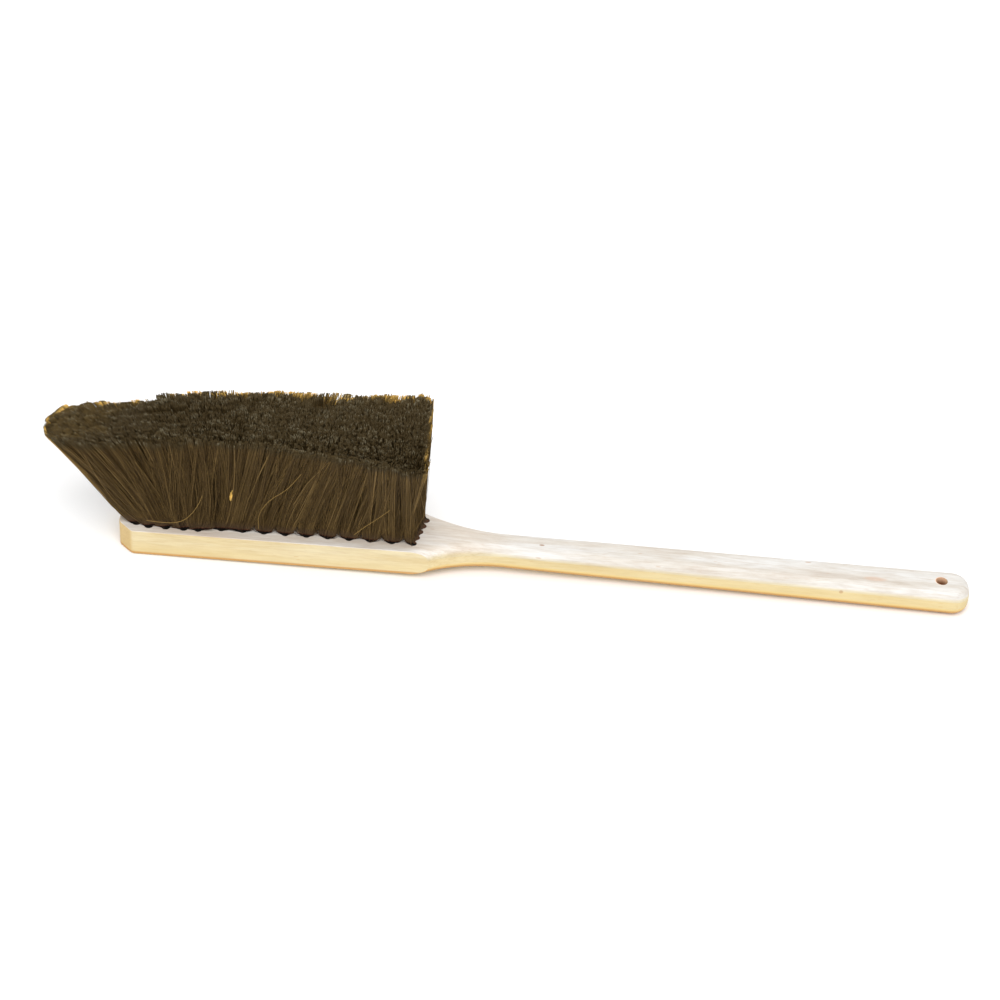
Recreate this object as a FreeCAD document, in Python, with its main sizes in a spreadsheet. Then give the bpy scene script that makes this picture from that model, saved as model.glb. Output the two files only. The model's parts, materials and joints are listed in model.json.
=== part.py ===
import FreeCAD, Part
import math
import os
import Sketcher

# Bee brush, lying on its back with its bristles up.
# +X runs from the bristles to the end of the handle, +Z points the way the bristles stand,
# and the origin is the centre of the bristle block's flat back.
# One wooden stock is drilled with rows of blind holes. Each hole holds a tuft of hair, folded in
# two over a short flat wire whose ends bite into the wood.

doc = FreeCAD.newDocument("BeeBrush")

# ---------------------------------------------------------------- driving dimensions, mm and degrees

SIZES = [
    ("block_length", 152.0, "bristle block, front end to shoulders"),
    ("block_width", 32.0, "bristle block, side to side"),
    ("thickness", 14.0, "stock, back to bristle face"),
    ("corner_cut", 7.0, "45 degree cut across each front corner"),
    ("corner_round_front", 4.0, "rounding where the corner cut meets the front end"),
    ("corner_round_side", 4.0, "rounding where the corner cut meets the side"),
    ("stock_length", 416.0, "whole stock, front end to end of handle"),
    ("shoulder_run", 37.0, "length of the hollow shoulders"),
    ("neck_width", 15.0, "handle where the shoulders run out"),
    ("end_width", 20.3, "handle beside its round end"),
    ("end_corner", 8.6, "radius of the handle's end corners"),
    ("handle_drop_angle", 1.4, "the handle falls away from the bristles by this"),
    ("bend_radius", 500.0, "bend between block and handle, at the bristle face"),
    ("handle_round", 5.0, "rounding of the handle's long edges"),
    ("edge_break", 0.4, "rounding of the block's edges"),
    ("hang_hole_radius", 2.9, "hanging hole"),
    ("hang_hole_inset", 14.2, "hanging hole's centre from the end of the handle"),
    ("hole_radius", 1.85, "tuft holes"),
    ("hole_depth", 8.5, "tuft holes, along their axes"),
    ("row_shift", 1.2, "each row stands this much nearer the handle than the row before"),
    ("straight_half_width", 9.3, "outer rows of the straight columns, from the middle"),
    ("straight_start", 50.3, "first straight column, near row, from the front end"),
    ("column_pitch", 10.4, "straight columns along the block"),
    ("fan_x_1", 8.8, "first fan column, near row, from the front end"),
    ("fan_x_2", 15.0, "second fan column, near row, from the front end"),
    ("fan_x_3", 23.4, "third fan column, near row, from the front end"),
    ("fan_x_4", 32.1, "fourth fan column, near row, from the front end"),
    ("fan_x_5", 39.2, "fifth fan column, near row, from the front end"),
    ("nose_half_width", 9.4, "outer rows of the first column"),
    ("fan_half_width", 11.1, "outer rows of the other fan columns"),
    ("nose_advance", 4.6, "the first column's middle row stands this much further forward"),
    ("front_lean", 41.0, "first column's hair leans forward in the middle row"),
    ("outer_lean_loss", 0.055, "share of that lean that the first column's outer rows lack"),
    ("front_spread", 3.0, "outer rows' hair leans sideways in the fan columns"),
    ("start_spread", 7.3, "outer rows' hair leans sideways in the first straight column"),
    ("end_spread", 17.0, "outer rows' hair leans sideways in the last column"),
    ("drilled_lean_share", 0.7, "share of the forward lean that the hole has"),
    ("drilled_spread_share", 0.1, "share of the sideways lean that the hole has"),
    ("hair_length", 60.0, "hair above the collar"),
    ("collar_height", 2.0, "straight hair above the hole's mouth"),
    ("tip_radius", 3.0, "tuft at its tips"),
    ("root_clearance", 0.05, "between a tuft's root and its hole"),
    ("wire_bite", 0.35, "each end of a wire in the wood"),
    ("wire_thickness", 0.4, "anchor wire, across"),
    ("wire_height", 1.8, "anchor wire, along the hole"),
    ("wire_lift", 1.2, "anchor wire above the bottom of the hole, for the fold of the hair"),
]

FAN_COLUMNS = 5
STRAIGHT_COLUMNS = 10
ROWS = 5
LEANING_COLUMNS = 6  # the first straight column still leans forward a little
LEAN_FALL = 1.6  # how late along the fan the lean falls off

sheet = doc.addObject("Spreadsheet::Sheet", "Sizes")
for line, (alias, value, note) in enumerate(SIZES, start=1):
    sheet.set(f"A{line}", alias)
    sheet.set(f"B{line}", str(value))
    sheet.set(f"C{line}", note)
    sheet.setAlias(f"B{line}", alias)
doc.recompute()


def bind(target, **expressions):
    """Binds properties of an object to expressions of the sheet's cells."""
    for name, expression in expressions.items():
        target.setExpression(name, expression)


# ---------------------------------------------------------------- wooden stock, before drilling

blank = doc.addObject("PartDesign::Body", "stock_blank")


def origin_plane(body, role):
    return next(f for f in body.Origin.OriginFeatures if f.Role == role)


def new_sketch(body, role, name):
    sketch = body.newObject("Sketcher::SketchObject", name)
    sketch.AttachmentSupport = [(origin_plane(body, role), "")]
    sketch.MapMode = "FlatFace"
    return sketch


def flat(point):
    return FreeCAD.Vector(point[0], point[1], 0)


def end_at(sketch, index, point):
    """The end of a drawn line or arc that lies on a point, as the solver names it."""
    gap = {end: sketch.getPoint(index, end).distanceToPoint(flat(point)) for end in (1, 2)}
    return index, min(gap, key=gap.get)


def draw_outline(sketch, pieces, smooth=()):
    """Draws a closed outline of lines (start, end) and arcs (start, middle, end) and joins their ends.

    smooth lists the pieces that run on in the direction of the piece before them."""
    for piece in pieces:
        if len(piece) == 2:
            sketch.addGeometry(Part.LineSegment(flat(piece[0]), flat(piece[1])))
        else:
            sketch.addGeometry(Part.Arc(*[flat(point) for point in piece]))
    for index, piece in enumerate(pieces):
        before = (index - 1) % len(pieces)
        kind = "Tangent" if index in smooth else "Coincident"
        ends = end_at(sketch, before, piece[0]) + end_at(sketch, index, piece[0])
        sketch.addConstraint(Sketcher.Constraint(kind, *ends))


def drive(sketch, index, point, across, along):
    """Ties an end of a piece to the sketch's origin by one or two distances that the sheet drives."""
    end = end_at(sketch, index, point)
    for kind, value, expression in (("DistanceX", point[0], across), ("DistanceY", point[1], along)):
        if expression:
            number = sketch.addConstraint(Sketcher.Constraint(kind, -1, 1, *end, value))
            sketch.setExpression(f"Constraints[{number}]", expression)


def size(alias):
    return float(sheet.get(alias))


def mirrored(point):
    return point[0], -point[1]


def draw_plan():
    """The stock's outline seen from above: cut front corners, hollow shoulders, flared handle."""
    sketch = new_sketch(blank, "XY_Plane", "plan")
    front = -size("block_length") / 2
    half_width = size("block_width") / 2
    handle_end = front + size("stock_length")
    half_neck = size("neck_width") / 2
    half_end = size("end_width") / 2
    run = size("shoulder_run")
    round_end = size("end_corner")

    front_corner = (front, half_width - size("corner_cut"))
    side_corner = (front + size("corner_cut"), half_width)
    shoulder = (-front, half_width)
    neck = (run - front, half_neck)
    taper = (handle_end - round_end, half_end)
    last = (handle_end, half_end - round_end)
    hollow = (0.45 * run - front, half_neck + 0.3 * (half_width - half_neck))
    bulge = (handle_end - 0.3 * round_end, half_end - 0.3 * round_end)

    draw_outline(
        sketch,
        [
            (mirrored(front_corner), front_corner),
            (front_corner, side_corner),
            (side_corner, shoulder),
            (shoulder, hollow, neck),
            (neck, taper),
            (taper, bulge, last),
            (last, mirrored(last)),
            (mirrored(last), mirrored(bulge), mirrored(taper)),
            (mirrored(taper), mirrored(neck)),
            (mirrored(neck), mirrored(hollow), mirrored(shoulder)),
            (mirrored(shoulder), mirrored(side_corner)),
            (mirrored(side_corner), mirrored(front_corner)),
        ],
        smooth=(4, 5, 6, 8, 9),
    )
    front_x = "-Sizes.block_length / 2"
    end_x = "Sizes.stock_length - Sizes.block_length / 2"
    side_y = "Sizes.block_width / 2"
    drive(sketch, 1, front_corner, front_x, f"{side_y} - Sizes.corner_cut")
    drive(sketch, 2, side_corner, f"{front_x} + Sizes.corner_cut", side_y)
    drive(sketch, 3, shoulder, "Sizes.block_length / 2", side_y)
    drive(sketch, 4, neck, "Sizes.block_length / 2 + Sizes.shoulder_run", "Sizes.neck_width / 2")
    drive(sketch, 5, taper, f"{end_x} - Sizes.end_corner", "Sizes.end_width / 2")
    drive(sketch, 6, last, end_x, None)
    pairs = [
        (1, 0, front_corner),
        (2, 11, side_corner),
        (3, 10, shoulder),
        (4, 9, neck),
        (5, 8, taper),
        (6, 7, last),
    ]
    for far, near, point in pairs:
        ends = end_at(sketch, far, point) + end_at(sketch, near, mirrored(point))
        sketch.addConstraint(Sketcher.Constraint("Symmetric", *ends, -1))
    return sketch


def draw_side(name, level, radius, above):
    """What the handle's slope leaves off the stock, above its bristle face or below its back.

    level and radius are (value, expression) pairs: the face's height and the bend's radius there."""
    sketch = new_sketch(blank, "XZ_Plane", name)
    half_length = size("block_length") / 2
    turn = math.radians(size("handle_drop_angle"))
    past_end = size("stock_length")
    margin = size("block_length")
    z, bend = level[0], radius[0]
    outside = margin if above else -margin

    start = (-margin, z)
    bend_start = (half_length, z)
    bend_middle = (half_length + bend * math.sin(turn / 2), z - bend * (1 - math.cos(turn / 2)))
    bend_end = (half_length + bend * math.sin(turn), z - bend * (1 - math.cos(turn)))
    far_end = (past_end, bend_end[1] - (past_end - bend_end[0]) * math.tan(turn))
    draw_outline(
        sketch,
        [
            (start, bend_start),
            (bend_start, bend_middle, bend_end),
            (bend_end, far_end),
            (far_end, (past_end, outside)),
            ((past_end, outside), (-margin, outside)),
            ((-margin, outside), start),
        ],
        smooth=(1, 2),
    )
    drive(sketch, 0, start, "-Sizes.block_length", level[1])
    drive(sketch, 1, bend_start, "Sizes.block_length / 2", level[1])
    drive(sketch, 3, far_end, "Sizes.stock_length", None)
    sign = "" if above else "-"
    drive(sketch, 4, (past_end, outside), "Sizes.stock_length", f"{sign}Sizes.block_length")
    drive(sketch, 5, (-margin, outside), "-Sizes.block_length", f"{sign}Sizes.block_length")
    number = sketch.addConstraint(Sketcher.Constraint("Radius", 1, bend))
    sketch.setExpression(f"Constraints[{number}]", radius[1])
    number = sketch.addConstraint(Sketcher.Constraint("Angle", 2, -turn))
    sketch.setExpression(f"Constraints[{number}]", "-Sizes.handle_drop_angle * 1deg")
    return sketch


def pocket(sketch, name):
    """Cuts a sketch through the blank to both sides, and makes sure that it took wood away."""
    before = blank.Shape.Volume
    cut = blank.newObject("PartDesign::Pocket", name)
    cut.Profile = sketch
    cut.Type = "ThroughAll"
    cut.SideType = "Symmetric"
    doc.recompute()
    if blank.Shape.Volume >= before:
        raise RuntimeError(f"{name} cuts nothing")


def round_edges(name, radius, wanted):
    """Rounds the edges of the blank whose middle point passes the test."""
    names = []
    for number, edge in enumerate(blank.Shape.Edges, start=1):
        middle = edge.valueAt((edge.FirstParameter + edge.LastParameter) / 2)
        if wanted(edge, middle):
            names.append(f"Edge{number}")
    base = blank.Tip
    rounding = blank.newObject("PartDesign::Fillet", name)
    rounding.Base = (base, names)
    rounding.setExpression("Radius", radius)
    doc.recompute()
    if not names or not blank.Shape.isValid():
        raise RuntimeError(f"{name} rounds {len(names)} edges and leaves no valid shape")


def is_upright(edge):
    ends = [vertex.Point for vertex in edge.Vertexes]
    return len(ends) == 2 and math.hypot(ends[0].x - ends[1].x, ends[0].y - ends[1].y) < 0.5


plan = draw_plan()
board = blank.newObject("PartDesign::Pad", "board")
board.Profile = plan
board.SideType = "Symmetric"
board.setExpression("Length", "4 * Sizes.thickness")
doc.recompute()

bend_top = (size("bend_radius"), "Sizes.bend_radius")
bend_back = (size("bend_radius") - size("thickness"), "Sizes.bend_radius - Sizes.thickness")
face_level = (size("thickness"), "Sizes.thickness")
back_level = (0.0, None)
pocket(draw_side("above_bristle_face", face_level, bend_top, True), "bristle_face")
pocket(draw_side("below_back", back_level, bend_back, False), "back")

shoulder_x = size("block_length") / 2
front_x = -shoulder_x


def at_front_end(edge, middle):
    return is_upright(edge) and abs(middle.x - front_x) < 0.01


def at_corner_side(edge, middle):
    return is_upright(edge) and abs(middle.x - front_x - size("corner_cut")) < 0.01


def on_handle(edge, middle):
    crosses_a_face = abs(middle.y) < 1.0 and middle.x < front_x + size("stock_length") - 1.0
    return middle.x > shoulder_x + 1.0 and not is_upright(edge) and not crosses_a_face


def on_block(edge, middle):
    return middle.x < shoulder_x - 0.1 and not is_upright(edge)


round_edges("front_corner_rounding", "Sizes.corner_round_front", at_front_end)
round_edges("side_corner_rounding", "Sizes.corner_round_side", at_corner_side)
round_edges("handle_rounding", "Sizes.handle_round", on_handle)
round_edges("edge_break", "Sizes.edge_break", on_block)

# ---------------------------------------------------------------- tufts, anchors and their holes


def frame_at(x, y, z, pitch="0", roll="0"):
    """A placement expression: a point, then a turn about Y (pitch) of one about X (roll)."""
    return f"placement(vector({x}; {y}; {z}); rotation(0; {pitch}; {roll}))"


def fan_share(column):
    """1 at the first column, falling evenly to 0 where the straight columns start."""
    return max(0.0, 1 - column / FAN_COLUMNS)


def lean_share(column):
    """1 at the first column, falling slowly and then faster to 0 after the leaning columns."""
    return max(0.0, 1 - (column / LEANING_COLUMNS) ** LEAN_FALL)


def side_of(row):
    """-1 in the near row, 0 in the middle row, 1 in the far row."""
    return 2 * row / (ROWS - 1) - 1


def mouth(column, row):
    """Expressions for the middle of a hole's mouth, along and across the block."""
    side = side_of(row)
    if column < FAN_COLUMNS:
        near_x = f"Sizes.fan_x_{column + 1}"
        half = "Sizes.nose_half_width" if column == 0 else "Sizes.fan_half_width"
    else:
        near_x = f"Sizes.straight_start + {column - FAN_COLUMNS} * Sizes.column_pitch"
        half = "Sizes.straight_half_width"
    shift = f"{row * (1 - fan_share(column)):.3f} * Sizes.row_shift"
    advance = f"{(1 - side * side) * fan_share(column):.3f} * Sizes.nose_advance"
    return f"{near_x} + {shift} - {advance} - Sizes.block_length / 2", f"{side:.2f} * {half}"


def leans(column, row):
    """Expressions for how far a tuft's hair leans forward and towards +Y, in degrees."""
    along = (column - FAN_COLUMNS) / (STRAIGHT_COLUMNS - 1)
    if along < 0:
        spread = "Sizes.front_spread"
    else:
        spread = f"(Sizes.start_spread + {along:.3f} * (Sizes.end_spread - Sizes.start_spread))"
    loss = f"{side_of(row) ** 2 * fan_share(column):.3f} * Sizes.outer_lean_loss"
    lean = f"{lean_share(column):.3f} * Sizes.front_lean * (1 - {loss})"
    return lean, f"{side_of(row):.2f} * {spread}"


def make_tuft(column, row):
    """One hole, the wire at its bottom and the tuft in it: (drill, wire, tuft)."""
    tag = f"{column + 1:02d}_{row + 1}"
    x, y = mouth(column, row)
    lean, spread = leans(column, row)
    pitch = f"-(Sizes.drilled_lean_share * {lean})"
    roll = f"-(Sizes.drilled_spread_share * {spread})"
    drill = doc.addObject("Part::Cylinder", f"drill_{tag}")
    bottom = frame_at("0", "0", "-Sizes.hole_depth")
    bind(
        drill,
        Radius="Sizes.hole_radius",
        Height="Sizes.hole_depth + 2 * Sizes.hole_radius",
        Placement=f"{frame_at(x, y, 'Sizes.thickness', pitch, roll)} * {bottom}",
    )

    wire = doc.addObject("Part::Box", f"wire_{tag}")
    half_wire = "(Sizes.hole_radius + Sizes.wire_bite)"
    centred = frame_at(f"-{half_wire}", "-Sizes.wire_thickness / 2", "Sizes.wire_lift")
    bind(
        wire,
        Length=f"2 * {half_wire}",
        Width="Sizes.wire_thickness",
        Height="Sizes.wire_height",
        Placement=f"drill_{tag}.Placement * {centred}",
    )

    root = doc.addObject("Part::Cylinder", f"root_{tag}")
    raised = frame_at("0", "0", "Sizes.root_clearance")
    bind(
        root,
        Radius="Sizes.hole_radius - Sizes.root_clearance",
        Height="Sizes.hole_depth - Sizes.root_clearance + Sizes.collar_height",
        Placement=f"drill_{tag}.Placement * {raised}",
    )

    free = doc.addObject("Part::Cone", f"free_{tag}")
    bent = frame_at(
        "0",
        "0",
        "Sizes.hole_depth + Sizes.collar_height",
        f"-(1 - Sizes.drilled_lean_share) * {lean}",
        f"-(1 - Sizes.drilled_spread_share) * {spread}",
    )
    bind(
        free,
        Radius1="Sizes.hole_radius - Sizes.root_clearance",
        Radius2="Sizes.tip_radius",
        Height="Sizes.hair_length",
        Placement=f"drill_{tag}.Placement * {bent}",
    )

    bundle = doc.addObject("Part::Fuse", f"bundle_{tag}")
    bundle.Base = root
    bundle.Tool = free
    tuft = doc.addObject("Part::Cut", f"tuft_{tag}")
    tuft.Base = bundle
    tuft.Tool = wire
    return drill, wire, tuft


def group(label, members):
    """One sub-part made of several separate solids."""
    together = doc.addObject("Part::Compound", label)
    together.Label = label
    together.Links = members
    parts.append(together)


parts = []
drills = []
wires = []
for column in range(FAN_COLUMNS + STRAIGHT_COLUMNS):
    made = [make_tuft(column, row) for row in range(ROWS)]
    drills += [drill for drill, wire, tuft in made]
    wires += [wire for drill, wire, tuft in made]
    group(f"tuft_column_{column + 1:02d}", [tuft for drill, wire, tuft in made])
    group(f"anchor_column_{column + 1:02d}", [wire for drill, wire, tuft in made])

# ---------------------------------------------------------------- drilled stock

hang_hole = doc.addObject("Part::Cylinder", "hang_hole")
hang_run = "(Sizes.stock_length - Sizes.block_length - Sizes.hang_hole_inset)"
hang_x = f"Sizes.block_length / 2 + {hang_run}"
hang_z = f"-{hang_run} * tan(Sizes.handle_drop_angle)"
hang_middle = frame_at(hang_x, "0", hang_z, "Sizes.handle_drop_angle")
hang_start = frame_at("0", "0", "-Sizes.thickness")
bind(
    hang_hole,
    Radius="Sizes.hang_hole_radius",
    Height="4 * Sizes.thickness",
    Placement=f"{hang_middle} * {hang_start}",
)

drillings = doc.addObject("Part::Compound", "drillings")
drillings.Links = drills + wires + [hang_hole]
stock = doc.addObject("Part::Cut", "wood_stock")
stock.Label = "wood_stock"
stock.Base = blank
stock.Tool = drillings
parts.insert(0, stock)

doc.recompute()

# ---------------------------------------------------------------- checks and STEP files

for item in doc.Objects:
    if {"Invalid", "Error"} & set(item.State):
        raise RuntimeError(f"{item.Name} did not build: {item.State}")
os.makedirs("parts", exist_ok=True)
for part in parts:
    if part.Shape.isNull() or not part.Shape.isValid():
        raise RuntimeError(f"{part.Label} has no valid shape")
    part.Shape.exportStep(f"parts/{part.Label}.step")
    print(part.Label, len(part.Shape.Solids), round(part.Shape.Volume, 1))
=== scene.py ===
import json
import math
from types import SimpleNamespace

import bpy
import numpy as np
from mathutils import Matrix, Vector


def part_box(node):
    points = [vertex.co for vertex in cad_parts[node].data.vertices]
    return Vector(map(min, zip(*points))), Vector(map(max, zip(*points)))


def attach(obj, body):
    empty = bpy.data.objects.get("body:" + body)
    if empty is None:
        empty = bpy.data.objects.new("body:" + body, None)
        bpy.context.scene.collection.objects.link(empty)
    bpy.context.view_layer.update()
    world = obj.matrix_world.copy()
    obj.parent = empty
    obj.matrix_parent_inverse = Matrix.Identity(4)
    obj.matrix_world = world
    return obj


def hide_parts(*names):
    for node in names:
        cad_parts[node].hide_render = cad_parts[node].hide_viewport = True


# Bee brush on its back: a beech stock and fifteen columns of dark hair tufts.
# Lengths are in metres. +X runs to the end of the handle and +Z the way the hair stands.

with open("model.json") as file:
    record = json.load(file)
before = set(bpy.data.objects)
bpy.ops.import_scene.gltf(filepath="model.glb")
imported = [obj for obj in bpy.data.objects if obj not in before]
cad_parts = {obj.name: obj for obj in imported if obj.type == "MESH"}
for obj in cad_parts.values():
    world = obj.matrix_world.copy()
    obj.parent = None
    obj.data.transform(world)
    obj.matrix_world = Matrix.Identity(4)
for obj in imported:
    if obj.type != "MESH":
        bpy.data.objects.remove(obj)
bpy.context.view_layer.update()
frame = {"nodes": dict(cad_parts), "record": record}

MM = 0.001
SEED = 7

stock_low, stock_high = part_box("wood_stock")
FACE_Z = stock_high.z
BLOCK_END = stock_low.x + 152 * MM
COLUMNS = sorted(name for name in frame["nodes"] if name.startswith("tuft_column_"))
LAST_COLUMN = len(COLUMNS) - 1
ROWS = 5
FAR_ROW = ROWS - 1
FAN_COLUMNS = 5
HOLE_RADIUS = 1.85 * MM
HANG = next(mount for mount in frame["record"]["mounts"] if mount["name"] == "hang_hole")
HANG_HOLE = Vector(HANG["pos_m"])
HANG_RADIUS = HANG["dims"]["r_mm"] * MM
HANDLE_SLOPE = HANG["axis"][0] / HANG["axis"][2]


# ---------------------------------------------------------------- node helpers


def new_material(name):
    material = bpy.data.materials.new(name)
    material.use_nodes = True
    tree = material.node_tree
    shader = tree.nodes["Principled BSDF"]
    return material, tree, shader


def add_node(tree, kind, **settings):
    """A node with its settings: inputs by socket name, and properties in lower case."""
    node = tree.nodes.new(kind)
    for key, value in settings.items():
        if key in node.inputs:
            node.inputs[key].default_value = value
        else:
            setattr(node, key, value)
    return node


def link(tree, source, target):
    tree.links.new(source, target)


def ramp(tree, factor, stops):
    """A colour ramp: stops are (position, (r, g, b))."""
    node = tree.nodes.new("ShaderNodeValToRGB")
    elements = node.color_ramp.elements
    while len(elements) > 1:
        elements.remove(elements[-1])
    elements[0].position = stops[0][0]
    elements[0].color = (*stops[0][1], 1)
    for position, colour in stops[1:]:
        elements.new(position).color = (*colour, 1)
    link(tree, factor, node.inputs["Fac"])
    return node.outputs["Color"]


def mix(tree, factor, a, b, kind="MIX"):
    """Mixes two colours; each of the three inputs is a socket or a value."""
    node = add_node(tree, "ShaderNodeMix", data_type="RGBA", blend_type=kind)
    for socket, value in ((node.inputs[0], factor), (node.inputs[6], a), (node.inputs[7], b)):
        if isinstance(value, bpy.types.NodeSocket):
            link(tree, value, socket)
        elif socket.type == "RGBA":
            socket.default_value = (*value, 1)
        else:
            socket.default_value = value
    return node.outputs[2]


def maths(tree, operation, a, b=None):
    node = add_node(tree, "ShaderNodeMath", operation=operation)
    for socket, value in zip(node.inputs, (a, b)):
        if isinstance(value, bpy.types.NodeSocket):
            link(tree, value, socket)
        elif value is not None:
            socket.default_value = value
    return node.outputs[0]


def times(tree, a, b):
    return maths(tree, "MULTIPLY", a, b)


def stretched(tree, scale, location=(0, 0, 0)):
    """Object coordinates in metres, scaled along each axis."""
    coordinates = tree.nodes.new("ShaderNodeTexCoord")
    mapping = add_node(tree, "ShaderNodeMapping")
    mapping.inputs["Scale"].default_value = scale
    mapping.inputs["Location"].default_value = location
    link(tree, coordinates.outputs["Object"], mapping.inputs["Vector"])
    return mapping.outputs["Vector"]


def noise(tree, vector, scale, detail=3.0, roughness=0.5):
    node = add_node(tree, "ShaderNodeTexNoise", Scale=scale, Detail=detail, Roughness=roughness)
    link(tree, vector, node.inputs["Vector"])
    return node.outputs["Fac"]


def smooth(tree, value, low, high):
    """0 below low and 1 above high, or the other way round when low is above high."""
    node = add_node(tree, "ShaderNodeMapRange", interpolation_type="SMOOTHSTEP")
    node.inputs["From Min"].default_value = min(low, high)
    node.inputs["From Max"].default_value = max(low, high)
    node.inputs["To Min"].default_value = 0.0 if low < high else 1.0
    node.inputs["To Max"].default_value = 1.0 if low < high else 0.0
    link(tree, value, node.inputs["Value"])
    return node.outputs["Result"]


def separate(tree, vector):
    node = tree.nodes.new("ShaderNodeSeparateXYZ")
    link(tree, vector, node.inputs["Vector"])
    return [node.outputs[axis] for axis in "XYZ"]


# ---------------------------------------------------------------- tufts, read from the frame


def solids_of(node):
    """The points of each separate solid of a node, as arrays in metres."""
    mesh = node.data
    points = np.empty(len(mesh.vertices) * 3)
    mesh.vertices.foreach_get("co", points)
    points = points.reshape(-1, 3)
    places, same = np.unique(np.round(points, 6), axis=0, return_inverse=True)
    mesh.calc_loop_triangles()
    corners = np.empty(len(mesh.loop_triangles) * 3, dtype=np.int64)
    mesh.loop_triangles.foreach_get("vertices", corners)
    triangles = same.reshape(-1)[corners].reshape(-1, 3)
    label = np.arange(len(places))
    while True:
        lowest = label[triangles].min(axis=1)
        before = label.copy()
        for corner in range(3):
            np.minimum.at(label, triangles[:, corner], lowest)
        if np.array_equal(before, label):
            break
    return [places[label == value] for value in np.unique(label)]


def unit(vector):
    return vector / np.linalg.norm(vector)


def read_tuft(points):
    """A tuft's root, its hole's mouth and its tip, each the middle of that end."""
    order = np.argsort(points[:, 2])
    axis = unit(points[order[-8:]].mean(axis=0) - points[order[:8]].mean(axis=0))
    reach = points @ axis
    tip = points[reach > reach.max() - 0.8 * MM].mean(axis=0)
    root = points[reach < reach.min() + 0.9 * MM].mean(axis=0)
    above = (points[:, 2] > FACE_Z + 0.3 * MM) & (points[:, 2] < FACE_Z + 4.5 * MM)
    collar = points[above].mean(axis=0)
    share = (FACE_Z - root[2]) / (collar[2] - root[2])
    return {"root": root, "mouth": root + share * (collar - root), "tip": tip}


def read_tufts():
    """tufts[column][row], from the block's front to the handle and from the near row to the far one."""
    rows = []
    for name in COLUMNS:
        column = [read_tuft(points) for points in solids_of(frame["nodes"][name])]
        rows.append(sorted(column, key=lambda tuft: tuft["mouth"][1]))
    return rows


tufts = read_tufts()


# ---------------------------------------------------------------- beech

# the top ramp is a painted lit copy of the beech and the side ramp a painted shaded copy
# ramps: position in the noise, colour
BEECH_TOP_LIT = (
    (0.28, (0.58, 0.49, 0.41)),
    (0.45, (0.68, 0.62, 0.545)),
    (0.58, (0.74, 0.70, 0.65)),
    (0.75, (0.77, 0.75, 0.71)),
)
BEECH_SIDE_SHADED = (
    (0.28, (0.57, 0.45, 0.25)),
    (0.46, (0.63, 0.54, 0.345)),
    (0.62, (0.67, 0.60, 0.42)),
    (0.75, (0.69, 0.635, 0.48)),
)
STREAK_TONES = (
    (0.30, (0.84, 0.78, 0.72)),
    (0.50, (0.97, 0.96, 0.95)),
    (0.66, (1.03, 1.03, 1.03)),
)
MOTTLE_TONES = (
    (0.35, (0.90, 0.875, 0.85)),
    (0.60, (1.03, 1.03, 1.03)),
)
WHITE = (1.0, 1.0, 1.0)
# the handle's tints carry on the painted light on its top and the painted shade on its sides
HANDLE_TOP_LIT_TINT = (0.92, 0.955, 0.99)
HANDLE_SIDE_SHADED_TINT = (0.90, 0.87, 0.74)
FLECK = (0.46, 0.27, 0.14)
LOWER_SIDE_SHADE = (0.67, 0.545, 0.275)
UNDERSIDE_SHADE = (0.78, 0.56, 0.19)
END_GRAIN_DARK = (0.46, 0.30, 0.10)
END_GRAIN_PALE = (0.69, 0.50, 0.22)
ARRIS_SHADE = (0.50, 0.24, 0.06)
POCKET_SHADE = (0.022, 0.010, 0.006)
BORE_DEPTH_SHADE = (0.20, 0.06, 0.02)
BORE_MOUTH = (0.85, 0.55, 0.37)

# knots and a streak in the handle: place as in in_handle, half size along the axes, strength and colour
MARKS = (
    ((0.40, -0.1, 1.0), (1.6 * MM, 0.8 * MM, 2.0 * MM), 0.80, (0.32, 0.18, 0.10)),
    ((0.60, -0.6, 0.8), (1.8 * MM, 1.4 * MM, 1.3 * MM), 0.50, (0.48, 0.28, 0.17)),
    ((0.80, 0.3, 1.0), (1.9 * MM, 0.7 * MM, 2.0 * MM), 0.55, (0.46, 0.27, 0.16)),
    ((0.85, -0.6, 0.3), (1.3 * MM, 2.0 * MM, 1.2 * MM), 0.65, (0.42, 0.24, 0.12)),
    ((0.90, -0.2, 1.0), (7.0 * MM, 2.0 * MM, 2.0 * MM), 0.40, (0.60, 0.37, 0.25)),
)


def in_handle(along, across, up):
    """A place in the handle, by shares of the way from the block's middle to the hanging hole, of the
    block's half width and of its half thickness above the handle's middle."""
    x = along * HANG_HOLE.x
    middle = HANG_HOLE.z + (HANG_HOLE.x - x) * HANDLE_SLOPE
    return x, across * stock_high.y, middle + up * FACE_Z / 2


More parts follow.
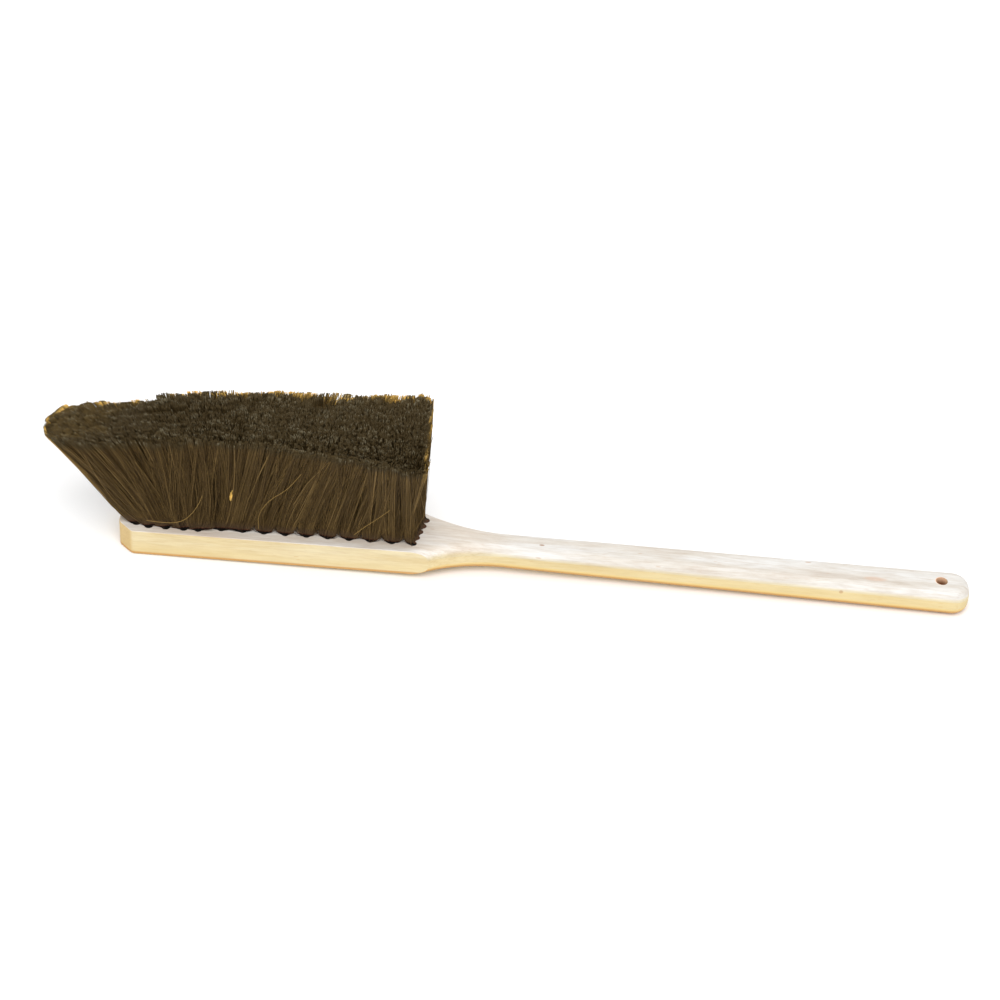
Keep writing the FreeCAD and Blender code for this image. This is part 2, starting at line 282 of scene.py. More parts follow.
def beech_grain(tree, x, facing_z):
    """Bands, streaks and flecks along the grain over painted light and shade, paler on upward faces and
    yellower on side faces: the colour and the streaks' own value.
    """
    bands = noise(tree, stretched(tree, (14, 150, 150)), 1.0, 5.0, 0.6)
    top = ramp(tree, bands, BEECH_TOP_LIT)
    side = ramp(tree, bands, BEECH_SIDE_SHADED)
    on_handle = smooth(tree, x, BLOCK_END + 9 * MM, BLOCK_END + 54 * MM)
    top = mix(tree, 1.0, top, mix(tree, on_handle, WHITE, HANDLE_TOP_LIT_TINT), "MULTIPLY")
    side = mix(tree, 1.0, side, mix(tree, on_handle, WHITE, HANDLE_SIDE_SHADED_TINT), "MULTIPLY")
    # painted light and shade: upward faces take the lit top colour and side faces the shaded side colour
    upward = maths(tree, "ADD", facing_z, times(tree, on_handle, 0.28))
    base = mix(tree, smooth(tree, upward, 0.15, 0.72), side, top)

    streaks = noise(tree, stretched(tree, (80, 1300, 1100), (0.3, 0.1, 0.2)), 1.0, 4.0, 0.7)
    base = mix(tree, 0.85, base, ramp(tree, streaks, STREAK_TONES), "MULTIPLY")
    mottle = noise(tree, stretched(tree, (70, 420, 420), (0.9, 0.2, 0.5)), 1.0, 3.0, 0.6)
    base = mix(tree, 0.7, base, ramp(tree, mottle, MOTTLE_TONES), "MULTIPLY")

    cells = add_node(tree, "ShaderNodeTexVoronoi", feature="F1", Scale=1.0, Randomness=1.0)
    link(tree, stretched(tree, (130, 800, 800)), cells.inputs["Vector"])
    dots = smooth(tree, cells.outputs["Distance"], 0.24, 0.12)
    patches = noise(tree, stretched(tree, (60, 90, 90), (0.7, 0.4, 0.1)), 1.0, 1.0, 0.5)
    density = maths(tree, "ADD", 0.12, times(tree, smooth(tree, patches, 0.58, 0.72), 0.6))
    return mix(tree, times(tree, dots, density), base, FLECK), streaks


def beech_edges(tree, base, streaks, x, z, facing_x, facing_z):
    """Painted shade makes it yellower low on the sides and underneath, and orange along the lower arrises;
    the end grain is darker.
    """
    # painted shade: yellower low on the sides and on faces turned downwards
    lower = times(tree, smooth(tree, z, 11 * MM, 1 * MM), smooth(tree, facing_z, 0.5, 0.2))
    base = mix(tree, times(tree, lower, 0.45), base, LOWER_SIDE_SHADE)
    under = smooth(tree, facing_z, 0.15, -0.35)
    base = mix(tree, times(tree, under, 0.8), base, UNDERSIDE_SHADE)

    end_grain = times(tree, smooth(tree, facing_x, -0.12, -0.70), smooth(tree, x, 0.0, -10 * MM))
    end_tone = mix(tree, streaks, END_GRAIN_DARK, END_GRAIN_PALE)
    base = mix(tree, times(tree, end_grain, 0.85), base, end_tone)

    # painted shade: orange-brown on faces turning down and, on the block, near its bottom
    not_flat = smooth(tree, facing_z, -0.999, -0.93)
    turned = times(tree, smooth(tree, facing_z, -0.10, -0.50), not_flat)
    foot = times(tree, smooth(tree, z, 1.9 * MM, 0.9 * MM), not_flat)
    on_block = smooth(tree, x, BLOCK_END + 9 * MM, BLOCK_END - 1 * MM)
    arris_shade = maths(tree, "MAXIMUM", turned, times(tree, foot, on_block))
    return mix(tree, times(tree, arris_shade, 0.85), base, ARRIS_SHADE)


def add_marks(tree, base, axes):
    """Lays each mark of MARKS over the wood as a soft ellipsoid."""
    for place, size, strength, colour in MARKS:
        away = None
        for axis, at, half in zip(axes, in_handle(*place), size):
            offset = maths(tree, "DIVIDE", maths(tree, "SUBTRACT", axis, at), half)
            square = times(tree, offset, offset)
            away = square if away is None else maths(tree, "ADD", away, square)
        spot = smooth(tree, away, 1.0, 0.2)
        base = mix(tree, times(tree, spot, strength), base, colour)
    return base


def hole_zone(tree, x, aside, columns):
    """1 over these columns' holes and 0 beside them, from the mouths of the two outer rows."""
    mouths = np.array([tuft["mouth"] for column in columns for tuft in (column[0], column[-1])])
    side = abs(mouths[:, 1]).max() + HOLE_RADIUS + 0.4 * MM
    front = mouths[:, 0].min() - 2 * HOLE_RADIUS
    back = mouths[:, 0].max() + HOLE_RADIUS + 0.4 * MM
    zone = smooth(tree, aside, side + 0.1 * MM, side - 0.1 * MM)
    zone = times(tree, zone, smooth(tree, x, front - 0.2 * MM, front + 0.2 * MM))
    return times(tree, zone, smooth(tree, x, back + 0.2 * MM, back - 0.2 * MM))


def darken_holes(tree, base, x, y, z):
    """The tuft holes' walls are dark with painted shade, and the hanging hole is tan at its mouth and darker
    down its bore with painted shade.
    """
    aside = maths(tree, "ABSOLUTE", y)
    # painted shade on the tuft holes' walls, below the face
    straight = hole_zone(tree, x, aside, [tufts[0]] + tufts[FAN_COLUMNS:])
    fanned = hole_zone(tree, x, aside, tufts[1:FAN_COLUMNS])
    below_face = smooth(tree, z, FACE_Z - 0.05 * MM, FACE_Z - 0.25 * MM)
    above_foot = smooth(tree, z, 3 * MM, 4 * MM)
    among = maths(tree, "MAXIMUM", straight, fanned)
    base = mix(tree, times(tree, among, times(tree, below_face, above_foot)), base, POCKET_SHADE)

    # painted shade: the hanging hole darkens from its tan mouth down the bore
    along = maths(tree, "SUBTRACT", x, HANG_HOLE.x)
    square = maths(tree, "ADD", maths(tree, "POWER", along, 2.0), maths(tree, "POWER", y, 2.0))
    bore = smooth(tree, maths(tree, "SQRT", square), HANG_RADIUS + 0.25 * MM, HANG_RADIUS + 0.05 * MM)
    near_mouth = smooth(tree, z, HANG_HOLE.z + 0.20 * FACE_Z, HANG_HOLE.z + 0.48 * FACE_Z)
    return mix(tree, times(tree, bore, 0.9), base, mix(tree, near_mouth, BORE_DEPTH_SHADE, BORE_MOUTH))


def make_beech():
    """Pale sanded beech: painted light and shade make it paler on top and yellower on the sides; darker end
    grain; painted shade along the lower arrises, in the tuft holes and down the hanging hole's bore.
    """
    material, tree, shader = new_material("beech")
    coordinates = tree.nodes.new("ShaderNodeTexCoord")
    x, y, z = separate(tree, coordinates.outputs["Object"])
    facing_x, _, facing_z = separate(tree, coordinates.outputs["Normal"])
    base, streaks = beech_grain(tree, x, facing_z)
    base = beech_edges(tree, base, streaks, x, z, facing_x, facing_z)
    base = add_marks(tree, base, (x, y, z))
    base = darken_holes(tree, base, x, y, z)
    link(tree, base, shader.inputs["Base Color"])
    link(tree, maths(tree, "ADD", times(tree, streaks, 0.15), 0.48), shader.inputs["Roughness"])
    shader.inputs["Specular IOR Level"].default_value = 0.35
    bump = add_node(tree, "ShaderNodeBump", Strength=0.3, Distance=0.2 * MM)
    link(tree, streaks, bump.inputs["Height"])
    link(tree, bump.outputs["Normal"], shader.inputs["Normal"])
    return material


# ---------------------------------------------------------------- wire, hair and floor

WIRE_TONES = ((0.3, (0.42, 0.42, 0.41)), (0.7, (0.60, 0.60, 0.59)))
HAIR_TONES = (
    (0.0, (0.048, 0.027, 0.008)),
    (0.5, (0.089, 0.054, 0.017)),
    (0.78, (0.155, 0.098, 0.033)),
    (0.92, (0.250, 0.160, 0.058)),
)
HAIR_LOW = (0.095, 0.060, 0.038)
HAIR_ROOT_SHADE = (0.090, 0.022, 0.012)
HAIR_MOUTH_SHADE = (0.004, 0.003, 0.002)
HAIR_TIP = (0.072, 0.050, 0.020)
CUT_DULL = (0.072, 0.049, 0.019)
CUT_SHINY = (0.20, 0.17, 0.105)
HAIR_BACKLIT_GOLD = (1.0, 0.62, 0.15)


def make_wire_metal():
    material, tree, shader = new_material("anchor_wire")
    tone = noise(tree, stretched(tree, (900, 900, 900)), 1.0)
    link(tree, ramp(tree, tone, WIRE_TONES), shader.inputs["Base Color"])
    shader.inputs["Metallic"].default_value = 1.0
    shader.inputs["Roughness"].default_value = 0.42
    return material


def make_hair():
    """Dark brown hair, with painted shade at its roots and in the holes' mouths. The strand attribute holds
    each strand's own tone, the way along it, its lock's tone and, as alpha, how golden it is there, a painted
    light showing through thin hair."""
    material, tree, shader = new_material("hair")
    strand = add_node(tree, "ShaderNodeAttribute", attribute_name="strand")
    parts = tree.nodes.new("ShaderNodeSeparateColor")
    link(tree, strand.outputs["Color"], parts.inputs["Color"])
    own, along, lock = (parts.outputs[name] for name in ("Red", "Green", "Blue"))
    tone = maths(tree, "ADD", times(tree, own, 0.65), times(tree, lock, 0.35))
    base = ramp(tree, tone, HAIR_TONES)
    base = mix(tree, times(tree, smooth(tree, along, 0.16, 0.05), 0.6), base, HAIR_LOW)
    # painted shade: dark red at the roots and near black in the holes' mouths
    base = mix(tree, times(tree, smooth(tree, along, 0.050, 0.025), 0.85), base, HAIR_ROOT_SHADE)
    base = mix(tree, smooth(tree, along, 0.036, 0.020), base, HAIR_MOUTH_SHADE)
    base = mix(tree, times(tree, smooth(tree, along, 0.93, 0.98), 0.8), base, HAIR_TIP)
    patches = noise(tree, stretched(tree, (150, 500, 150)), 1.0, 2.0, 0.5)
    shine = times(tree, smooth(tree, lock, 0.45, 1.0), smooth(tree, patches, 0.40, 0.62))
    cut = mix(tree, shine, CUT_DULL, CUT_SHINY)
    base = mix(tree, smooth(tree, along, 0.970, 0.995), base, cut)
    # painted light: golden where light shows through thin hair at the edges of the mass
    base = mix(tree, strand.outputs["Alpha"], base, HAIR_BACKLIT_GOLD)
    link(tree, base, shader.inputs["Base Color"])
    shader.inputs["Roughness"].default_value = 0.55
    shader.inputs["Specular IOR Level"].default_value = 0.12
    return material


def make_floor():
    material, tree, shader = new_material("floor")
    shader.inputs["Base Color"].default_value = (0.93, 0.93, 0.93, 1)
    shader.inputs["Roughness"].default_value = 0.9
    return material


beech = make_beech()
wire_metal = make_wire_metal()
hair = make_hair()

for name, node in frame["nodes"].items():
    coat = beech if name == "wood_stock" else wire_metal
    node.data.materials.clear()
    node.data.materials.append(coat)


# ---------------------------------------------------------------- hair

STRANDS = 460
LOCKS = 40
SPECKS = 120
HEIGHTS = np.array([0.0, 0.012, 0.03, 0.06, 0.12, 0.25, 0.45, 0.7, 0.90, 0.955, 0.985, 1.0])
RING_WAYS = np.concatenate([[0], HEIGHTS])
ROOT_RADIUS = (0.085 * MM, 0.12 * MM)
TIP_THICKENING = 1.35
FAR_TIP_THICKENING = 2.4
EDGE_REACH = 3.2 * MM
FRONT_REACH = 0.4 * MM
NOSE_BULGE = 5.2 * MM
NOSE_CORNER = 3 * MM
TRIM = 0.5 * MM
END_NEAR = stock_low.x + 151.2 * MM
END_FAR = stock_low.x + 148.6 * MM
SPLAY_HEIGHT = 1.5 * MM
MOUTH_HEIGHT = 0.9 * MM
LEAN_BEND = 1.3

# share of the way along the columns, and there how far the side's tips stand behind their mouths in mm
SIDE_LEAN = ((0, 0.14, 0.29, 0.43, 0.57, 0.75, 1), (-38, -19, 2, 15, 19, 15, -5))
# column, and there how much longer the far row's hair is in mm
FAR_EDGE = ((2, 3, 4, 5, 6, 8, 9, 10), (1.0, 0, 5.0, 3.2, 1.6, 1.2, -4.0, 0))
# hairs lying on the near side: (column, share of the way up) of each point
LOOSE_HAIRS = (
    ((1.2, 0.14), (2.1, 0.12), (2.7, 0.13), (3.2, 0.18), (3.6, 0.27), (3.9, 0.40), (4.0, 0.50)),
    ((6.7, 0.10), (6.4, 0.30), (6.6, 0.50), (7.1, 0.62), (7.3, 0.80)),
    ((11.2, 0.12), (11.6, 0.25), (12.2, 0.38), (12.9, 0.52)),
)
LOOSE_RINGS = 24
# a golden fleck of short strands on the near side: painted light showing through a gap in the hair
# column, then from and to a share of the way up
GLINT_HAIRS = (5.05, 0.46, 0.55)
GLINT_COUNT = 9
GLINT_RINGS = 4


def disc_from_square(square):
    """Maps points of the square -1 to 1 on to the unit disc, keeping neighbours together."""
    a, b = square[:, 0], square[:, 1]
    return np.stack([a * np.sqrt(1 - b * b / 2), b * np.sqrt(1 - a * a / 2)], axis=1)


def reach_to(line, index, edge):
    """Vectors from one tuft's tip half the way to the tips before and after it in a line.

    At an end of the line there is no neighbour, and the tuft only reaches a little way out."""
    here = line[index]
    steps = []
    for other in (index - 1, index + 1):
        if 0 <= other < len(line):
            steps.append((line[other] - here) / 2)
        else:
            inward = line[2 * index - other] - here
            steps.append(-unit(inward) * edge)
    return steps


def lean_to_handle(column, row):
    """How far the tips on the mass's two sides stand towards the handle from where their tufts point."""
    tuft = tufts[column][row]
    points = tuft["tip"][0] - tuft["mouth"][0]
    wanted = np.interp(column / LAST_COLUMN, *SIDE_LEAN) * MM
    side = 2 * row / FAR_ROW - 1
    return max(wanted - points, 0) * side * side


def spread_along(share, before, after):
    """Moves by a share of -1 to 1 towards the neighbour before or the one after."""
    return np.where(share < 0, -share, 0) * before + np.where(share > 0, share, 0) * after


def golden_share(column, row, tip, lock_gold):
    """Thin hair at the edges of the mass lets light through: a golden share for each strand and ring.

    Each edge has the strands' places towards it, if the tuft is on it, how far out and how far up the
    gold starts, and its strength."""
    edges = (
        (tip[:, 1], row == FAR_ROW, 0.1, 0.94, 1.0),
        (-tip[:, 0], column == 0, 0.4, 0.90, 1.0),
        (-tip[:, 0], column == 0 and row == 0, 0.6, 0.40, 0.9),
        (tip[:, 0], column == LAST_COLUMN, 0.7, 0.90, 0.7),
        (np.ones(len(tip)), column < 3 and row > 0, 0.5, 0.94, 0.07),
    )
    gold = np.zeros((len(tip), len(RING_WAYS)))
    for outward, on_edge, out_start, up_start, strength in edges:
        if on_edge:
            out = np.clip((outward - out_start) / 0.3, 0, 1) * strength * lock_gold
            up = np.clip((RING_WAYS - up_start) / (1 - up_start), 0, 1)
            gold = np.maximum(gold, out[:, None] * up[None] ** 0.4)
    return gold


def centre_line(tuft, t):
    """The tuft's middle, a share t of the way up: it leaves along its hole, then bends towards its tip."""
    hole_axis = unit(tuft["mouth"] - tuft["root"])
    knee = tuft["mouth"] + hole_axis * np.linalg.norm(tuft["tip"] - tuft["mouth"]) * 0.34
    return (1 - t) ** 2 * tuft["mouth"] + 2 * t * (1 - t) * knee + t**2 * tuft["tip"]


def smooth_line(corners, count):
    """Points along a line rounded through its corners."""
    line = corners
    for _ in range(4):
        cut = np.stack([line[:-1] * 0.75 + line[1:] * 0.25, line[:-1] * 0.25 + line[1:] * 0.75], axis=1)
        line = np.concatenate([corners[:1], cut.reshape(-1, 3), corners[-1:]])
    way = np.linspace(0, len(line) - 1, count)
    return np.stack([np.interp(way, np.arange(len(line)), line[:, axis]) for axis in range(3)], axis=1)


def nearest_to(points, centres):
    return ((points[:, None, :] - centres[None]) ** 2).sum(axis=2).argmin(axis=1)


def place_strands(column, row, random):
    """Each strand's place in its hole and in the trimmed surface, both in a square of -1 to 1.

    A strand belongs to a lock, which draws its tip in, and to a speck, which gives it a tone. Outer is 1
    at the mass's near or far side and 0 from the tuft's middle inwards."""
    square = random.uniform(-1, 1, (STRANDS, 2))
    square = np.sign(square) * np.abs(square) ** 0.85
    locks = random.uniform(-1, 1, (LOCKS, 2))
    specks = random.uniform(-1, 1, (SPECKS, 2))
    lock = nearest_to(square, locks)
    gather = random.uniform(0.0, 0.15 if row == FAR_ROW else 0.5, STRANDS)[:, None]
    loose = (random.random((STRANDS, 1)) < 0.12) * random.normal(0, 0.5, (STRANDS, 2))
    jitter = random.normal(0, 0.05, (STRANDS, 2))
    tip = square + (locks[lock] - square) * gather + jitter + loose
    low = [-1.0 if column == 0 else -1.5, -1.0 if row == 0 else -1.5]
    high = [1.0 if column == LAST_COLUMN else 1.5, 0.8 if row == FAR_ROW else 1.5]
    tip = np.clip(tip, low, high)
    outer = np.zeros(STRANDS)
    if row in (0, FAR_ROW):
        outer = np.clip(tip[:, 1] if row == FAR_ROW else -tip[:, 1], 0, 1)
    base = disc_from_square(square) * 0.9 * HOLE_RADIUS
    return SimpleNamespace(base=base, tip=tip, lock=lock, speck=nearest_to(square, specks), outer=outer)


def strand_reach(column, row, strands, random):
    """How much longer each strand is than its tuft: locks of a length, rounded towards the tuft's corners."""
    tip = strands.tip
    on_edge = row in (0, FAR_ROW) or column in (0, LAST_COLUMN)
    tuft_reach = random.normal(0, 0.8 * MM if on_edge else 0.3 * MM)
    far = 2 * max(row / FAR_ROW - 0.5, 0)
    tuft_reach = tuft_reach + far * np.interp(column, *FAR_EDGE) * MM
    rounding = (tip**2).sum(axis=1) * 0.25 * MM
    lock_reach = random.normal(0, (0.2 if row == FAR_ROW else 0.28) * MM, LOCKS)[strands.lock]
    reach = TRIM + tuft_reach + lock_reach - rounding
    if row == FAR_ROW:
        parting = random.uniform(-0.35, 0.35)
        fanned = np.clip((7 - column) / 3, 0, 1)
        halves = random.normal(0, (0.8 + 0.5 * fanned) * MM, 2)
        reach = reach + halves[(tip[:, 0] > parting).astype(int)]
        depth = (2.4 + 2.0 * fanned) * MM
        for notch in (parting, 1 if parting < 0 else -1):
            reach = reach - depth * np.exp(-(((tip[:, 0] - notch) / 0.15) ** 2))
    raggedness = 0.25 if row == FAR_ROW else 1
    ragged = random.normal(0, 0.15 * MM, STRANDS) - random.exponential(0.28 * MM, STRANDS)
    reach = reach + raggedness * ragged
    if column == 0 and row == 0:
        reach = reach + NOSE_CORNER * np.clip(-tip[:, 0], 0, 1) * np.clip(-tip[:, 1], 0, 1)
    return reach


def tip_spread(column, row, tip):
    """The vectors from the tuft's own tip to the strands' places in the trimmed surface."""
    tips_along = np.array([line[row]["tip"] for line in tufts])
    tips_across = np.array([tuft["tip"] for tuft in tufts[column]])
    forward, backward = reach_to(tips_along, column, FRONT_REACH * (1 - 6 * row / FAR_ROW))
    if column == LAST_COLUMN:
        flush = END_NEAR + (END_FAR - END_NEAR) * row / FAR_ROW
        backward = np.array([flush - tips_along[column][0], 0, 0])
    spread = spread_along(tip[:, :1], forward, backward)
    return spread + spread_along(tip[:, 1:], *reach_to(tips_across, row, EDGE_REACH))


def splayed_lines(column, row, strands, offset, reach, random):
    """Centre lines that leave the hole together, splay just above it and stand at their places at the top."""
    tuft = tufts[column][row]
    hair_axis = unit(tuft["tip"] - tuft["mouth"])
    length = np.linalg.norm(tuft["tip"] - tuft["mouth"])
    tip, outer = strands.tip, strands.outer
    spread = tip_spread(column, row, tip)
    lock_lean = lean_to_handle(column, row) * np.clip(random.normal(1.0, 0.3, LOCKS), 0.2, 1.8)
    lean = (lock_lean[strands.lock] * np.clip(0.25 + outer, 0, 1))[:, None]

    # splay along the block is quick, and across it slow for the outer strands
    t = HEIGHTS[None, :, None]
    height = t * length
    splay_share = random.uniform(0.55, 0.85, (STRANDS, 1, 1))
    splay_height = SPLAY_HEIGHT * random.uniform(0.6, 1.8, (STRANDS, 1, 1))
    along_height = splay_height * (0.4 + 0.9 * outer[:, None, None])
    across_height = splay_height * (1 + 5 * outer[:, None, None])
    splay = splay_share * (1 - np.exp(-height / [along_height, across_height])) + (1 - splay_share) * t
    splay = np.concatenate([splay[0], splay[1], splay[0]], axis=2)
    line = centre_line(tuft, t) + offset[:, None] + (spread - offset)[:, None] * splay
    line = line + reach[:, None, None] * hair_axis * t**2

    up = t[:, :, 0]
    out_of_mouth = (1 - np.exp(-height / MOUTH_HEIGHT))[:, :, 0]
    line[:, :, 0] += lean * up**LEAN_BEND
    if row == 0:
        line[:, :, 1] += 1.5 * MM * outer[:, None] * (out_of_mouth * (1 - up) ** 1.5)
    if column == 0:
        line[:, :, 0] -= NOSE_BULGE * np.clip(-tip[:, :1], 0, 1) * np.sin(math.pi * up**0.5)
    if column == LAST_COLUMN:
        wide = np.clip(spread[:, :1] - offset[:, :1], 0, None)
        line[:, :, 0] -= wide * (splay[:, :, 0] - up**3)
        drawn_in = out_of_mouth * np.clip(1.25 - 1.6 * up, 0, 1)
        line[:, :, 0] -= 3 * MM * np.clip(tip[:, :1] + 0.2, 0, 1) * drawn_in
    return line


def bend_strands(column, strands, line, flat_x, flat_y, random):
    """Adds each strand's waves, each lock's bow, and a large bow for a few stray hairs.

    The two end columns have no stray hairs, and only bow inwards."""
    t = HEIGHTS[None, :, None]
    wave = random.uniform(0.2, 0.9, (STRANDS, 1, 1)) * MM
    turn = random.uniform(0, 2 * math.pi, (STRANDS, 1, 1))
    cycles = random.uniform(0.3, 0.9, (STRANDS, 1, 1))
    phase = random.uniform(0, 2 * math.pi, (STRANDS, 1, 1))
    sway = wave * (np.sin(2 * math.pi * cycles * t + phase) - np.sin(phase))
    sway = sway * np.minimum(1, 4 * t) * (1.1 - t)
    line = line + sway * (np.cos(turn) * flat_x + np.sin(turn) * flat_y)
    bow = random.normal(0, 1.5 * MM, LOCKS)[strands.lock]
    is_stray = (random.random(STRANDS) < 0.012) & (0 < column < LAST_COLUMN)
    if column in (0, LAST_COLUMN):
        bow = np.abs(bow) * (0.5 if column == 0 else -0.5)
    bow = np.where(is_stray, random.normal(0, 5 * MM, STRANDS), bow)
    return line + bow[:, None, None] * np.sin(math.pi * t) * flat_x, is_stray


def strand_tones(column, row, strands, is_stray, random):
    """The strand attribute: own tone, the way along, the speck's tone and the golden share."""
    tones = np.empty((STRANDS, len(RING_WAYS), 4))
    lock_gold = np.minimum(1, 1.5 * random.random(LOCKS) ** 1.3)[strands.lock]
    lock_gold = lock_gold * random.uniform(0.5, 1, STRANDS)
    own = random.uniform(0, 1, STRANDS) + 0.15 * max(column / LAST_COLUMN - 0.7, 0) / 0.3
    tones[:, :, 0] = np.where(is_stray, 1, np.minimum(own, 1))[:, None]
    skipped = np.where(strands.outer > 0.15, 0, 0.032)[:, None]
    tones[:, :, 1] = skipped + (1 - skipped) * RING_WAYS[None]
    tones[:, :, 2] = random.uniform(0, 1, SPECKS)[strands.speck][:, None]
    tones[:, :, 3] = golden_share(column, row, strands.tip, lock_gold)
    return tones


def tuft_strands(column, row, random):
    """Centre lines (strands, rings, 3), radii (strands, rings) and tones (strands, rings, 4) of one tuft."""
    tuft = tufts[column][row]
    hole_axis = unit(tuft["mouth"] - tuft["root"])
    flat_x = unit(np.cross([0, 1, 0], hole_axis))
    flat_y = np.cross(hole_axis, flat_x)
    strands = place_strands(column, row, random)
    offset = strands.base[:, :1] * flat_x + strands.base[:, 1:] * flat_y
    reach = strand_reach(column, row, strands, random)
    line = splayed_lines(column, row, strands, offset, reach, random)
    line, is_stray = bend_strands(column, strands, line, flat_x, flat_y, random)
    line[:, 1:, 2] = np.maximum(line[:, 1:, 2], FACE_Z + 0.25 * MM)
    below = line[:, 0] - hole_axis * 3 * MM
    line = np.concatenate([below[:, None], line], axis=1)
    thickening = FAR_TIP_THICKENING if row == FAR_ROW else TIP_THICKENING
    radius = random.uniform(*ROOT_RADIUS, (STRANDS, 1)) * (1 + (thickening - 1) * RING_WAYS**2)[None]
    return line, radius, strand_tones(column, row, strands, is_stray, random)


def sweep(line, radius):
    """Three-sided tubes round centre lines, closed at both ends: points and triangles."""
    count, rings = radius.shape
    along = np.gradient(line, axis=1)
    along /= np.linalg.norm(along, axis=2, keepdims=True)
    side = np.cross(along, [0.0, 1.0, 0.0])
    side /= np.linalg.norm(side, axis=2, keepdims=True)
    other = np.cross(along, side)
    angles = np.array([0, 2, 4]) * math.pi / 3
    circle = np.cos(angles)[:, None] * side[:, :, None] + np.sin(angles)[:, None] * other[:, :, None]
    points = line[:, :, None] + radius[:, :, None, None] * circle

    first = np.arange(count)[:, None, None] * rings * 3 + np.arange(rings - 1)[None, :, None] * 3
    a = first + np.arange(3)
    b = first + (np.arange(3) + 1) % 3
    sides = np.stack([a, b, b + 3, a + 3], axis=-1).reshape(-1, 4)
    bottom = (np.arange(count) * rings * 3)[:, None] + np.array([2, 1, 0])
    top = (np.arange(count) * rings * 3 + (rings - 1) * 3)[:, None] + np.array([0, 1, 2])
    return points.reshape(-1, 3), sides, np.concatenate([bottom, top])


def mesh_from(name, points, quads, triangles):
    mesh = bpy.data.meshes.new(name)
    mesh.vertices.add(len(points))
    mesh.vertices.foreach_set("co", points.ravel())
    corners = np.concatenate([quads.ravel(), triangles.ravel()])
    mesh.loops.add(len(corners))
    mesh.loops.foreach_set("vertex_index", corners)
    sizes = np.concatenate([np.full(len(quads), 4), np.full(len(triangles), 3)])
    mesh.polygons.add(len(sizes))
    mesh.polygons.foreach_set("loop_start", np.concatenate([[0], np.cumsum(sizes)[:-1]]))
    mesh.polygons.foreach_set("use_smooth", np.ones(len(sizes), dtype=bool))
    mesh.update(calc_edges=True)
    return mesh


def add_piece(name, mesh, material):
    piece = bpy.data.objects.new(name, mesh)
    bpy.context.scene.collection.objects.link(piece)
    mesh.materials.append(material)
    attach(piece, "root")
    return piece


def make_hair_piece(name, line, radius, tones):
    points, quads, triangles = sweep(line, radius)
    mesh = mesh_from(name, points, quads, triangles)
    strand = mesh.attributes.new("strand", "FLOAT_COLOR", "POINT")
    colours = np.repeat(tones.reshape(-1, 4), 3, axis=0).astype(np.float32)
    strand.data.foreach_set("color", colours.ravel())
    piece = add_piece(name, mesh, hair)
    return piece


def near_side(column, t):
    """A point just outside the near side of the hair, a share t of the way up, at a fractional column."""
    first = int(column)
    places = []
    for index in (first, first + 1):
        lean = lean_to_handle(index, 0) * 1.25 * t**LEAN_BEND
        outward = (1.7 + 1.5 * t**0.5 - 1.4 * (1 - t) ** 1.5) * MM
        places.append(centre_line(tufts[index][0], t) + [lean, -outward, 0])
    return places[0] + (places[1] - places[0]) * (column - first)


def make_loose_hairs():
    """Hairs that lie bent across the near side, and a few short golden strands on it as a painted light
    showing through a gap in the hair.
    """
    random = np.random.default_rng(SEED + 100)
    corners = [np.array([near_side(*place) for place in places]) for places in LOOSE_HAIRS]
    bent = np.array([smooth_line(line - [0, 1.7 * MM, 0], LOOSE_RINGS) for line in corners])
    tones = np.ones((len(bent), LOOSE_RINGS, 4)) * (1.0, 0.5, 1.0, 0.15)
    make_hair_piece("loose_hairs", bent, np.full((len(bent), LOOSE_RINGS), 0.11 * MM), tones)

    # painted light: a few short golden strands where light shows through the hair
    column, from_share, to_share = GLINT_HAIRS
    low, high = near_side(column, from_share), near_side(column, to_share)
    scatter = random.uniform(-1, 1, (GLINT_COUNT, 3)) * [0.40 * MM, 0.2 * MM, 1.6 * MM]
    lower_end = low + scatter - [0, 1.2 * MM, 0]
    upper_end = lower_end + (high - low) * random.uniform(0.5, 1.0, (GLINT_COUNT, 1))
    share = np.linspace(0, 1, GLINT_RINGS)[None, :, None]
    glint_lines = lower_end[:, None] * (1 - share) + upper_end[:, None] * share
    tones = np.ones((GLINT_COUNT, GLINT_RINGS, 4)) * (0.9, 0.5, 0.5, 1)
    make_hair_piece("glint_hairs", glint_lines, np.full((GLINT_COUNT, GLINT_RINGS), 0.14 * MM), tones)


def make_hair_column(column):
    random = np.random.default_rng([SEED, column])
    made = [tuft_strands(column, row, random) for row in range(ROWS)]
    line, radius, tones = (np.concatenate(items) for items in zip(*made))
    piece = make_hair_piece(COLUMNS[column].replace("tuft", "hair"), line, radius, tones)
    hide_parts(COLUMNS[column])


for number in range(len(COLUMNS)):
    make_hair_column(number)
make_loose_hairs()


# ---------------------------------------------------------------- floor, lights and camera

REST_SLOPE = math.atan2(-stock_low.z, stock_high.x - stock_low.x)


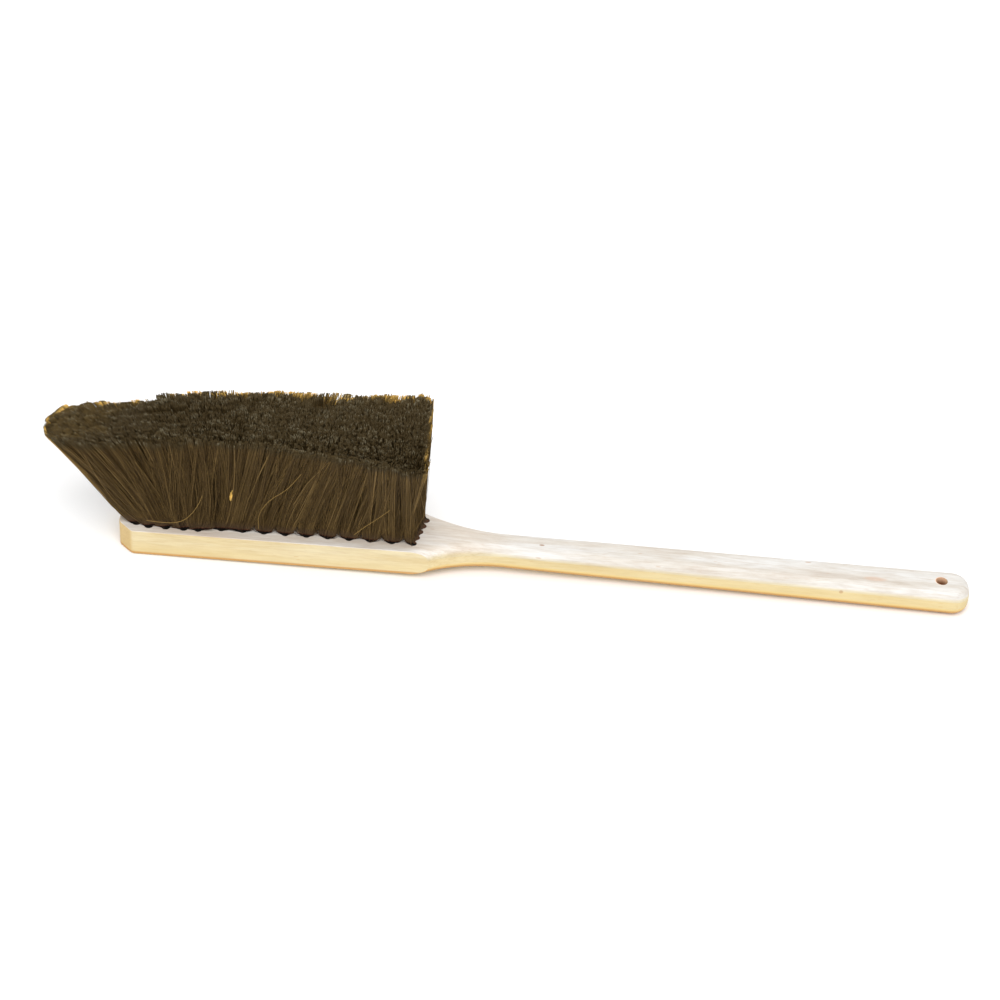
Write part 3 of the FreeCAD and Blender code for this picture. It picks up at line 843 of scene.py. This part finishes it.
def make_stage():
    """A plain floor under the front edge and the handle's end, which the brush rests on."""
    half = 6.0
    mesh = bpy.data.meshes.new("floor")
    corners = [(-half, -half, 0), (half, -half, 0), (half, half, 0), (-half, half, 0)]
    mesh.from_pydata(corners, [], [(0, 1, 2, 3)])
    floor = bpy.data.objects.new("floor", mesh)
    floor.location = (stock_low.x, 0, -0.2 * MM)
    floor.rotation_euler = (0, REST_SLOPE, 0)
    bpy.context.scene.collection.objects.link(floor)
    mesh.materials.append(make_floor())


def add_area(name, place, target, size, watts, colour=(1, 1, 1)):
    lamp = bpy.data.lights.new(name, "AREA")
    lamp.shape = "DISK"
    lamp.size = size
    lamp.energy = watts
    lamp.color = colour
    holder = bpy.data.objects.new(name, lamp)
    holder.location = place
    holder.rotation_mode = "QUATERNION"
    holder.rotation_quaternion = (Vector(target) - Vector(place)).to_track_quat("-Z", "Y")
    bpy.context.scene.collection.objects.link(holder)


def make_lights():
    middle = (0.11, 0.0, 0.02)
    add_area("key", (0.15, -0.80, 1.35), middle, 1.3, 15)
    add_area("fill", (0.3, -1.6, 0.60), middle, 1.2, 1, (1.0, 0.96, 0.88))
    world = bpy.data.worlds.new("studio")
    world.use_nodes = True
    world.node_tree.nodes["Background"].inputs["Color"].default_value = (1, 1, 1, 1)
    world.node_tree.nodes["Background"].inputs["Strength"].default_value = 0.95
    bpy.context.scene.world = world
    bpy.context.scene.view_settings.view_transform = "Standard"


def make_camera():
    """Looks down at the brush from its near side, turned a little so that the handle runs downhill."""
    azimuth, elevation, roll = (math.radians(angle) for angle in (1.70, 38.0, 3.27))
    distance = 1.30
    target = Vector((0.10865, 0.0, 0.0375))
    back = Vector(
        (
            math.sin(azimuth) * math.cos(elevation),
            -math.cos(azimuth) * math.cos(elevation),
            math.sin(elevation),
        )
    )
    right = Vector((math.cos(azimuth), math.sin(azimuth), 0))
    up = back.cross(right)
    turned_right = math.cos(roll) * right + math.sin(roll) * up
    turned_up = math.cos(roll) * up - math.sin(roll) * right
    data = bpy.data.cameras.new("camera")
    data.sensor_width = 36
    data.lens = 96.94
    data.clip_start, data.clip_end = 0.05, 50
    camera = bpy.data.objects.new("camera", data)
    pose = Matrix((turned_right, turned_up, back)).transposed().to_4x4()
    pose.translation = target + back * distance
    camera.matrix_world = pose
    bpy.context.scene.collection.objects.link(camera)
    bpy.context.scene.camera = camera


make_stage()
make_lights()
make_camera()
